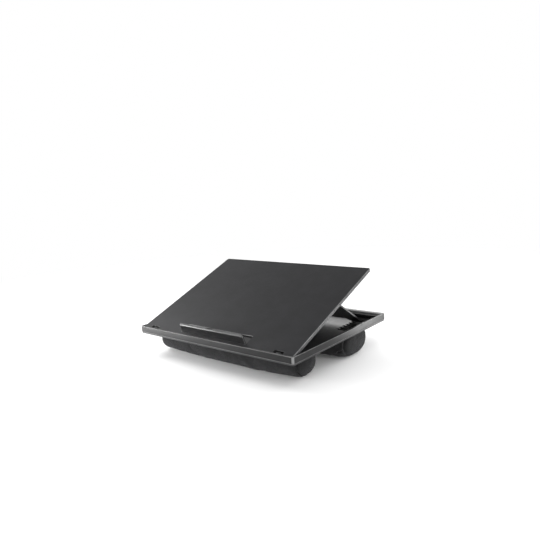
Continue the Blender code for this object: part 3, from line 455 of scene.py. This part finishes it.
def lean_and_light_blade(shape):
    """Leans the front of the blade back towards its top, and marks a painted highlight that grows towards
    it.
    """
    up = Vector((0.0, -math.sin(PLATE_TILT), math.cos(PLATE_TILT)))
    ahead = Vector((0.0, -math.cos(PLATE_TILT), -math.sin(PLATE_TILT)))
    rises = [vert.co.dot(up) for vert in shape.verts]
    top = max(rises)
    foot = min(rises) + BLADE_FOOT_SHARE * (top - min(rises))
    for band in range(1, BLADE_BANDS):
        cut_across(shape, up * (foot + (top - foot) * band / BLADE_BANDS), up)
    front = max(vert.co.dot(ahead) for vert in shape.verts if vert.co.dot(up) > foot)
    skin = {
        vert: (vert.co.dot(up) - foot) / (top - foot) for vert in shape.verts
        if vert.co.dot(up) > foot and vert.co.dot(ahead) > front - BLADE_SKIN
    }
    wear_and_highlight = shape.loops.layers.float["wear_and_highlight"]
    # the front is painted lighter towards its top, and the top face too: a painted highlight
    for vert, share in skin.items():
        for loop in vert.link_loops:
            if loop.face.normal.dot(ahead) > FACES_ALONG:
                loop[wear_and_highlight] = BLADE_PAINTED_LIGHT * share
    for face in shape.faces:
        if face.normal.dot(up) > FACES_ALONG and face.calc_center_median().dot(up) > foot:
            mark_wear_and_paint(shape, face, BLADE_PAINTED_LIGHT)
    for vert, share in skin.items():
        vert.co -= ahead * BLADE_LEAN * share ** 2


stopper_plastic = moulded_plastic(
    "stopper plastic", STOPPER_COLOUR, roughness=0.33, specular=0.6, wear_and_highlight_tone=0.22,
    relief=0.000001, scuffing=0.01, cloudy=0.04,
)
shape = welded_shape("stopper")
soften_edges(shape, STOPPER_ROUND)
lean_and_light_blade(shape)
stopper = place_piece("flip_stopper", shape, stopper_plastic, "stopper", "stopper_plastic", "stopper")
even_shading(stopper)

# Cushions. Two bolsters of charcoal woven polyester, stuffed with soft filling. Each is a sleeve with
# an oval panel sewn into either end; its top is stapled to the board, its bottom is pressed flat.
BOLSTER_SIDES = 56
BOLSTER_RINGS = 60
SHOULDER = 0.016
SHOULDER_TURN = math.radians(30.0)
QUARTER_TURN = math.radians(90.0)
SHOULDER_SQUARENESS = 2.4
POLE_TURN = 0.001
HIDDEN_CROWN = 0.008
PRESSED_FLAT = 0.0005
LIFT_POWER = 5
SLACK = 0.0018
FABRIC_VOXEL = 0.0042
HELD_STRIP = 0.002
SWELL_STEPS = 20
SWELL_CAP = 0.005


def superellipse(angle, squareness):
    """Unit point of a rounded-square section at an angle."""
    power = 2.0 / squareness
    across = math.copysign(abs(math.cos(angle)) ** power, math.cos(angle))
    up = math.copysign(abs(math.sin(angle)) ** power, math.sin(angle))
    return across, up


def bolster_form(low, high, squareness, side_bow, end_lifts):
    """A bolster a little smaller than its space: round shoulders at the ends, bowed along its sides."""
    shape = bmesh.new()
    bmesh.ops.create_uvsphere(shape, u_segments=BOLSTER_SIDES, v_segments=BOLSTER_RINGS, radius=1.0)
    middle_y = (low.y + high.y) / 2
    middle_z = (high.z + HIDDEN_CROWN - PRESSED_FLAT) / 2
    half_depth = (high.y - low.y) / 2 - side_bow - SLACK
    half_height = (high.z + HIDDEN_CROWN + PRESSED_FLAT) / 2 - SLACK
    straight = high.x - SHOULDER
    for vert in shape.verts:
        pole = math.acos(max(-1.0, min(1.0, vert.co.z)))
        from_end = min(pole, math.pi - pole)
        if from_end < SHOULDER_TURN:
            share = from_end / SHOULDER_TURN
            size, out = superellipse(QUARTER_TURN * (1.0 - share), SHOULDER_SQUARENESS)
            along = straight + (SHOULDER - SLACK) * out
            bow = 0.0
        else:
            share = (from_end - SHOULDER_TURN) / (QUARTER_TURN - SHOULDER_TURN)
            along = straight * math.cos(QUARTER_TURN * share)
            size = 1.0
            bow = side_bow * (1.0 - (along / straight) ** 2)
        across, up = superellipse(math.atan2(vert.co.y, vert.co.x), squareness)
        if from_end < POLE_TURN:
            across, up = 0.0, 0.0
        end_lift = end_lifts[1] if vert.co.z > 0.0 else end_lifts[0]
        lift = end_lift * (along / high.x) ** LIFT_POWER * (1.0 - up) / 2
        vert.co = Vector((
            math.copysign(along, vert.co.z),
            middle_y + across * (half_depth + bow) * size,
            middle_z + up * half_height * size + lift,
        ))
    for height, side in ((low.z + SLACK / 2, -1.0), (high.z - SLACK / 2, 1.0)):
        cut = cut_across(shape, (0.0, 0.0, height), (0.0, 0.0, side), clear_outer=True)
        rim = [item for item in cut["geom_cut"] if isinstance(item, bmesh.types.BMEdge)]
        bmesh.ops.edgeloop_fill(shape, edges=rim)
    bmesh.ops.recalc_face_normals(shape, faces=shape.faces)
    return shape


def apply_modifiers(piece):
    """Bakes a piece's modifiers into its mesh."""
    view = bpy.context.evaluated_depsgraph_get()
    finished = bpy.data.meshes.new_from_object(piece.evaluated_get(view))
    piece.modifiers.clear()
    piece.data = finished


def stuff(piece, top):
    """Swells the fabric by cloth simulation, held at the board and the ground, and caps its moves."""
    remesh = piece.modifiers.new("remesh", "REMESH")
    remesh.mode = "VOXEL"
    remesh.voxel_size = FABRIC_VOXEL
    apply_modifiers(piece)
    before = [vert.co.copy() for vert in piece.data.vertices]
    still = [index for index, place in enumerate(before) if not HELD_STRIP < place.z < top - HELD_STRIP]
    held = piece.vertex_groups.new(name="held")
    held.add(still, 1.0, "REPLACE")
    cloth = piece.modifiers.new("cloth", "CLOTH")
    cloth.settings.quality = 6
    cloth.settings.mass = 0.25
    cloth.settings.use_pressure = True
    cloth.settings.uniform_pressure_force = 5.0
    cloth.settings.effector_weights.gravity = 0.0
    cloth.settings.shrink_min = -0.004
    cloth.settings.bending_stiffness = 1.5
    cloth.settings.vertex_group_mass = held.name
    for step in range(1, SWELL_STEPS + 1):
        bpy.context.scene.frame_set(step)
    view = bpy.context.evaluated_depsgraph_get()
    swollen = [vert.co.copy() for vert in piece.evaluated_get(view).data.vertices]
    piece.modifiers.clear()
    piece.vertex_groups.clear()
    bpy.context.scene.frame_set(1)
    for vert, start, after in zip(piece.data.vertices, before, swollen):
        move = after - start
        if move.length > SWELL_CAP:
            move *= SWELL_CAP / move.length
        vert.co = start + move


def smooth_fabric(piece):
    """Rounds off the steps that the remeshing leaves."""
    smooth = piece.modifiers.new("smooth", "SUBSURF")
    smooth.levels = 1
    smooth.render_levels = 1
    apply_modifiers(piece)


def fill_space(piece, low, high):
    """Brings the swollen bolster to the width, depth and height of its space."""
    places = [vert.co.copy() for vert in piece.data.vertices]
    lowest = Vector([min(place[axis] for place in places) for axis in range(3)])
    highest = Vector([max(place[axis] for place in places) for axis in range(3)])
    room = [high[axis] - low[axis] for axis in range(3)]
    reach = [highest[axis] - lowest[axis] for axis in range(3)]
    for vert, place in zip(piece.data.vertices, places):
        vert.co = [low[axis] + room[axis] * (place[axis] - lowest[axis]) / reach[axis] for axis in range(3)]


# The end panels are sewn in by machine, and their seams draw the fabric in and gather it. A crease
# runs from one of them, where the sleeve was pulled tight by hand.
SEAM_RINGS = (-0.009, -0.0065, -0.0045, -0.0031, -0.0021, -0.0013, -0.0007, -0.0003)
SEAM_REACH = 0.03
SEAM_DEPTH = 0.0032
SEAM_WIDTH = 0.0011
SEAM_LIP = 0.0006
LIP_SETBACK = 2.6 * SEAM_WIDTH
GATHER_RADIUS = 0.030
GATHER_PITCH = 0.0075
GATHER_DEPTH = 0.00154
GATHER_REACH = 0.0065
PANEL_GATHER_SHARE = 0.55
END_SEED = 7.0
CUSHION_SEED = 90.0
CREASE_MESH_REACH = 0.008
CREASE_REACH = 0.012
CREASE_DEPTH = 0.0042
CREASE_WIDTH = 0.0016
CREASE_PAST_ENDS = 0.2
CREASE_MIDDLE = 0.45
CREASE_FULL_SHARE = 0.3
CREASE_FADE_SHARE = 0.22
RIDGE_SETBACK = 0.0032
RIDGE_WIDTH = 1.4 * CREASE_WIDTH
RIDGE_SHARE = 0.55
DIMPLES = ((38.0, 0.0006), (110.0, 0.00025))
BOARD_STRIP = 0.0008


def bell(distance, width):
    """One in the middle of a fold, and falling softly to nought away from it."""
    return math.exp(-((distance / width) ** 2))


def beside_line(place, start, end):
    """How far along a line a point lies, as a share of it, and the way to it from the line."""
    share = (place - start).dot(end - start) / (end - start).length ** 2
    return share, place - start.lerp(end, max(0.0, min(1.0, share)))


def seam_push(place, seam_x, middle):
    """How far an end seam, its lips and its gathers push a point of the fabric out."""
    from_seam = seam_x - abs(place.x - middle.x)
    if abs(from_seam) >= SEAM_REACH:
        return 0.0
    groove = SEAM_DEPTH * bell(from_seam, SEAM_WIDTH)
    lip = SEAM_LIP * bell(abs(from_seam) - LIP_SETBACK, SEAM_WIDTH)
    around = math.atan2(place.z - middle.z, place.y - middle.y) * GATHER_RADIUS
    end = math.copysign(END_SEED, place.x)
    wave = noise.noise((around / GATHER_PITCH, end, middle.y * CUSHION_SEED))
    strength = 1.0 if from_seam > 0.0 else PANEL_GATHER_SHARE
    gather = strength * GATHER_DEPTH * max(0.0, wave) * math.exp(-abs(from_seam) / GATHER_REACH)
    return lip - groove - gather


def crease_push(place, start, end):
    """How far a crease and the ridge beside it push a point of the fabric out."""
    share, offset = beside_line(place, start, end)
    if not -CREASE_PAST_ENDS < share < 1.0 + CREASE_PAST_ENDS or offset.length > CREASE_REACH:
        return 0.0
    side = math.copysign(offset.length, offset.z)
    fade = bell(max(0.0, abs(share - CREASE_MIDDLE) - CREASE_FULL_SHARE), CREASE_FADE_SHARE)
    ridge = RIDGE_SHARE * bell(side - RIDGE_SETBACK, RIDGE_WIDTH)
    return fade * CREASE_DEPTH * (ridge - bell(side, CREASE_WIDTH))


def sew_seams(piece, seam_x, middle, creases, top):
    """Presses the end seams, their gathers, the creases and a few dimples into a bolster."""
    shape = bmesh.new()
    shape.from_mesh(piece.data)
    for start, end in creases:
        near = []
        for edge in shape.edges:
            share, offset = beside_line((edge.verts[0].co + edge.verts[1].co) / 2, start, end)
            if offset.length < CREASE_MESH_REACH:
                near.append(edge)
        bmesh.ops.subdivide_edges(shape, edges=near, cuts=2, use_grid_fill=True, smooth=0.6)
    for side in (-1.0, 1.0):
        for step in SEAM_RINGS + (0.0,) + tuple(-step for step in reversed(SEAM_RINGS)):
            cut_across(shape, (middle.x + side * seam_x + step, 0.0, 0.0), (1.0, 0.0, 0.0))
    shape.normal_update()
    moves = []
    for vert in shape.verts:
        push = seam_push(vert.co, seam_x, middle)
        push += sum(crease_push(vert.co, start, end) for start, end in creases)
        push += sum(noise.noise(vert.co * scale) * height for scale, height in DIMPLES)
        moves.append(vert.normal * push)
    for vert, move in zip(shape.verts, moves):
        if vert.co.z > top - BOARD_STRIP:
            move = Vector((move.x, move.y, 0.0))
        vert.co += move
        vert.co.z = max(0.0, min(top, vert.co.z))
    shape.to_mesh(piece.data)
    shape.free()


# The fabric is a plain weave of charcoal yarn, cut with its threads along the sleeve and sewn up. Its
# fuzz and its small folds are in the finish, which follows the unrolled sleeve and panels.
FABRIC_COLOUR = (0.0095, 0.0095, 0.0098)
DARKEST_SHARE = 0.55
LIGHTEST_SHARE = 1.75
WEAR_SHARE = 0.55
THREAD_PITCH = 0.0011
YARN_STRETCHES = ((70.0, 1300.0, 1.0), (1300.0, 70.0, 1.0))
AROUND_RADIUS = 0.032
FULL_TURN = math.radians(360.0)


def lay_fabric(piece, seam_x, middle):
    """Unrolls the sleeve and the end panels into a UV map in metres, so that the weave follows them."""
    mesh = piece.data
    layer = mesh.uv_layers.new(name="fabric")
    for face in mesh.polygons:
        centre = face.center
        panel = abs(centre.x - middle.x) > seam_x
        face_turn = math.atan2(centre.y - middle.y, middle.z - centre.z)
        for loop in face.loop_indices:
            place = mesh.vertices[mesh.loops[loop].vertex_index].co
            if panel:
                layer.data[loop].uv = (place.y, place.z)
                continue
            turn = math.atan2(place.y - middle.y, middle.z - place.z)
            turn += FULL_TURN * round((face_turn - turn) / FULL_TURN)
            layer.data[loop].uv = (place.x, turn * AROUND_RADIUS)


def woven_fabric(name, colour):
    """Plain-woven polyester: over-and-under threads, streaky yarn, soft fuzz and pressed creases."""
    finish, tree, shader = new_finish(name)
    shader.inputs["Specular IOR Level"].default_value = 0.15
    shader.inputs["Sheen Weight"].default_value = 0.07
    shader.inputs["Sheen Roughness"].default_value = 0.55
    shader.inputs["Sheen Tint"].default_value = (0.80, 0.80, 0.84, 1.0)

    # The threads lie on the unrolled fabric, one set over the other by turns
    laid = add_node(tree, "ShaderNodeUVMap", uv_map="fabric").outputs["UV"]
    across = add_node(tree, "ShaderNodeSeparateXYZ", Vector=laid)
    threads = [
        work_out(tree, "SINE", work_out(tree, "MULTIPLY", across.outputs[axis], FULL_TURN / THREAD_PITCH))
        for axis in ("X", "Y")
    ]
    woven = work_out(tree, "MULTIPLY", *threads)
    streaks = []
    for stretch in YARN_STRETCHES:
        pulled = add_node(tree, "ShaderNodeMapping", Vector=laid, Scale=stretch).outputs["Vector"]
        streaks.append(add_pattern(tree, "ShaderNodeTexNoise", pulled, Scale=1.0, Detail=2.0))
    on_top = rescale(tree, woven, low=-0.4, high=0.4)
    yarns = combine(tree, "ShaderNodeMix", on_top, *streaks, data_type="FLOAT")

    where = add_node(tree, "ShaderNodeTexCoord").outputs["Object"]
    wear = add_pattern(tree, "ShaderNodeTexNoise", where, Scale=55.0, Detail=5.0, Roughness=0.8)
    streaky = work_out(tree, "MULTIPLY", yarns, 1.0 - WEAR_SHARE)
    both = work_out(tree, "MULTIPLY_ADD", wear, WEAR_SHARE, streaky)
    darker = [DARKEST_SHARE * part for part in colour]
    lighter = [LIGHTEST_SHARE * part for part in colour]
    dyed = grade(tree, both, low=0.36, low_colour=darker, high=0.64, high_colour=lighter)
    gloss = rescale(tree, yarns, low=0.0, high=1.0, new_low=0.75, new_high=0.95)
    feed(tree, shader.inputs["Base Color"], dyed)
    feed(tree, shader.inputs["Roughness"], gloss)
    folds = add_node(tree, "ShaderNodeBump", Strength=0.5, Distance=0.0012, Height=wear).outputs["Normal"]
    bump = add_node(tree, "ShaderNodeBump", Strength=0.6, Distance=0.00022, Height=woven, Normal=folds)
    feed(tree, shader.inputs["Normal"], bump.outputs["Normal"])
    return finish


REAR_CREASE = (Vector((0.1635, 0.0060, 0.0130)), Vector((0.1765, 0.0150, 0.0262)))
BOLSTERS = {
    "front": dict(
        squareness=2.05, side_bow=0.006, end_lifts=(0.001, 0.0045), left_swell=0.0045,
        right_draw=0.0030, setback=0.0075, creases=(),
    ),
    "rear": dict(
        squareness=2.8, side_bow=0.0035, end_lifts=(0.0015, 0.0015), left_swell=0.0,
        right_draw=0.0, setback=0.0055, creases=(REAR_CREASE,),
    ),
}

fabric = woven_fabric("charcoal weave", FABRIC_COLOUR)
for name, make in BOLSTERS.items():
    low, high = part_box(name + "_cushion")
    low.x -= make["left_swell"]
    high.x -= make["right_draw"]
    middle = (low + high) / 2
    seam_x = high.x - middle.x - make["setback"]
    shape = bolster_form(low, high, make["squareness"], make["side_bow"], make["end_lifts"])
    piece = place_piece(name + "_bolster", shape, fabric, "base", "cushion_fabric", name + "_cushion")
    stuff(piece, high.z)
    smooth_fabric(piece)
    fill_space(piece, low, high)
    sew_seams(piece, seam_x, middle, make["creases"], high.z)
    lay_fabric(piece, seam_x, middle)
    piece.data.shade_smooth()

# Studio. A floor of pale paper under a plain soft sky, a soft key light, and strips and fills for the
# edges. The white of the far floor and of the backdrop is there for the eye and for gloss alone, and
# lights nothing.
FLOOR_TONE = 0.925
FLOOR_SIZE = 6.0
FADE_START = 0.45
FADE_END = 1.5
SKY_LIGHT = 0.92
WHITE = (1.0, 1.0, 1.0)
OVERHEAD_TONE = (0.12, 0.12, 0.12)


def seen_by_eye(tree):
    """One for rays of the camera, of gloss and of glass, and nought for those that light things."""
    path = add_node(tree, "ShaderNodeLightPath")
    seen = work_out(tree, "MAXIMUM", path.outputs["Is Camera Ray"], path.outputs["Is Glossy Ray"])
    return work_out(tree, "MAXIMUM", seen, path.outputs["Is Transmission Ray"])


floor_shape = bmesh.new()
bmesh.ops.create_grid(floor_shape, x_segments=1, y_segments=1, size=FLOOR_SIZE)
floor_mesh = bpy.data.meshes.new("floor")
floor_shape.to_mesh(floor_mesh)
floor_shape.free()
floor = bpy.data.objects.new("floor", floor_mesh)
bpy.context.collection.objects.link(floor)
floor_finish, tree, floor_shader = new_finish("floor paper")
floor_shader.inputs["Base Color"].default_value = (FLOOR_TONE, FLOOR_TONE, FLOOR_TONE, 1.0)
floor_shader.inputs["Roughness"].default_value = 0.9
floor_shader.inputs["Specular IOR Level"].default_value = 0.1
where = add_node(tree, "ShaderNodeTexCoord").outputs["Object"]
away = combine(tree, "ShaderNodeVectorMath", where, operation="LENGTH")
far = rescale(tree, away, FADE_START, FADE_END, interpolation_type="SMOOTHSTEP")
far_for_eye = work_out(tree, "MULTIPLY", far, seen_by_eye(tree))
paper = floor_shader.outputs["BSDF"]
glow = add_node(tree, "ShaderNodeEmission", Color=(*WHITE, 1.0), Strength=1.0).outputs["Emission"]
faded = combine(tree, "ShaderNodeMixShader", far_for_eye, paper, glow)
feed(tree, tree.nodes["Material Output"].inputs["Surface"], faded)
floor_mesh.materials.append(floor_finish)

world = bpy.data.worlds.new("studio")
bpy.context.scene.world = world
world.use_nodes = True
tree = world.node_tree
direction = add_node(tree, "ShaderNodeTexCoord").outputs["Generated"]
height = add_node(tree, "ShaderNodeSeparateXYZ", Vector=direction).outputs["Z"]
backdrop = tree.nodes["Background"]
backdrop.inputs["Strength"].default_value = 1.0
dome = grade(tree, height, low=0.40, low_colour=WHITE, high=0.62, high_colour=OVERHEAD_TONE)
feed(tree, backdrop.inputs["Color"], dome)
shown = backdrop.outputs["Background"]
sky = add_node(tree, "ShaderNodeBackground", Color=(*WHITE, 1.0), Strength=SKY_LIGHT).outputs["Background"]
surroundings = combine(tree, "ShaderNodeMixShader", seen_by_eye(tree), sky, shown)
feed(tree, tree.nodes["World Output"].inputs["Surface"], surroundings)


def add_softbox(name, place, aim, size, power):
    """A rectangular lamp of a width and height in metres that faces a point."""
    lamp = bpy.data.lights.new(name, "AREA")
    lamp.shape = "RECTANGLE"
    lamp.size, lamp.size_y = size
    lamp.energy = power
    holder = bpy.data.objects.new(name, lamp)
    bpy.context.collection.objects.link(holder)
    holder.visible_camera = False
    holder.location = place
    facing = Vector(aim) - Vector(place)
    holder.rotation_euler = facing.to_track_quat("-Z", "Y").to_euler()


add_softbox("key softbox", (-1.0, -0.3, 1.0), aim=(0.0, 0.0, 0.05), size=(0.6, 0.6), power=8.0)
add_softbox("front strip", (-0.45, -0.42, 0.07), aim=(-0.1, -0.15, 0.05), size=(0.30, 0.15), power=3.4)
add_softbox("rear softbox", (-0.55, 1.55, 0.45), aim=(0.1, 0.1, 0.06), size=(1.2, 0.6), power=5.2)
add_softbox("rim softbox", (0.65, 1.30, 0.80), aim=(0.15, 0.05, 0.06), size=(0.5, 0.4), power=5.4)
add_softbox("side strip", (0.265, 0.195, 0.022), aim=(0.1875, 0.195, 0.040), size=(0.14, 0.03), power=0.125)
add_softbox("right fill", (0.95, 0.05, 0.30), aim=(0.19, -0.03, 0.0), size=(0.4, 0.25), power=1.5)
add_softbox("front fill", (0.95, -0.75, 0.18), aim=(0.17, 0.0, 0.02), size=(0.6, 0.3), power=4.6)

# Camera. It stands where the photograph was taken from, as solved from the corners of the tray, and
# looks along the same line, a little rolled.
EYE = Vector((0.6503, -0.7467, 0.3220))
AZIMUTH = math.radians(39.849)
ELEVATION = math.radians(9.536)
ROLL = math.radians(-3.288)
LENS_MM = 34.716
SENSOR_MM = 36.0

back = Vector((
    math.sin(AZIMUTH) * math.cos(ELEVATION),
    -math.cos(AZIMUTH) * math.cos(ELEVATION),
    math.sin(ELEVATION),
))
right = Vector((0.0, 0.0, 1.0)).cross(back).normalized()
up = back.cross(right)
turned_right = right * math.cos(ROLL) + up * math.sin(ROLL)
turned_up = up * math.cos(ROLL) - right * math.sin(ROLL)
camera_data = bpy.data.cameras.new("camera")
camera_data.lens = LENS_MM
camera_data.sensor_width = SENSOR_MM
camera = bpy.data.objects.new("camera", camera_data)
bpy.context.collection.objects.link(camera)
turn = Matrix((turned_right, turned_up, back)).transposed().to_4x4()
camera.matrix_world = Matrix.Translation(EYE) @ turn
bpy.context.scene.camera = camera
bpy.context.scene.view_settings.view_transform = "Standard"
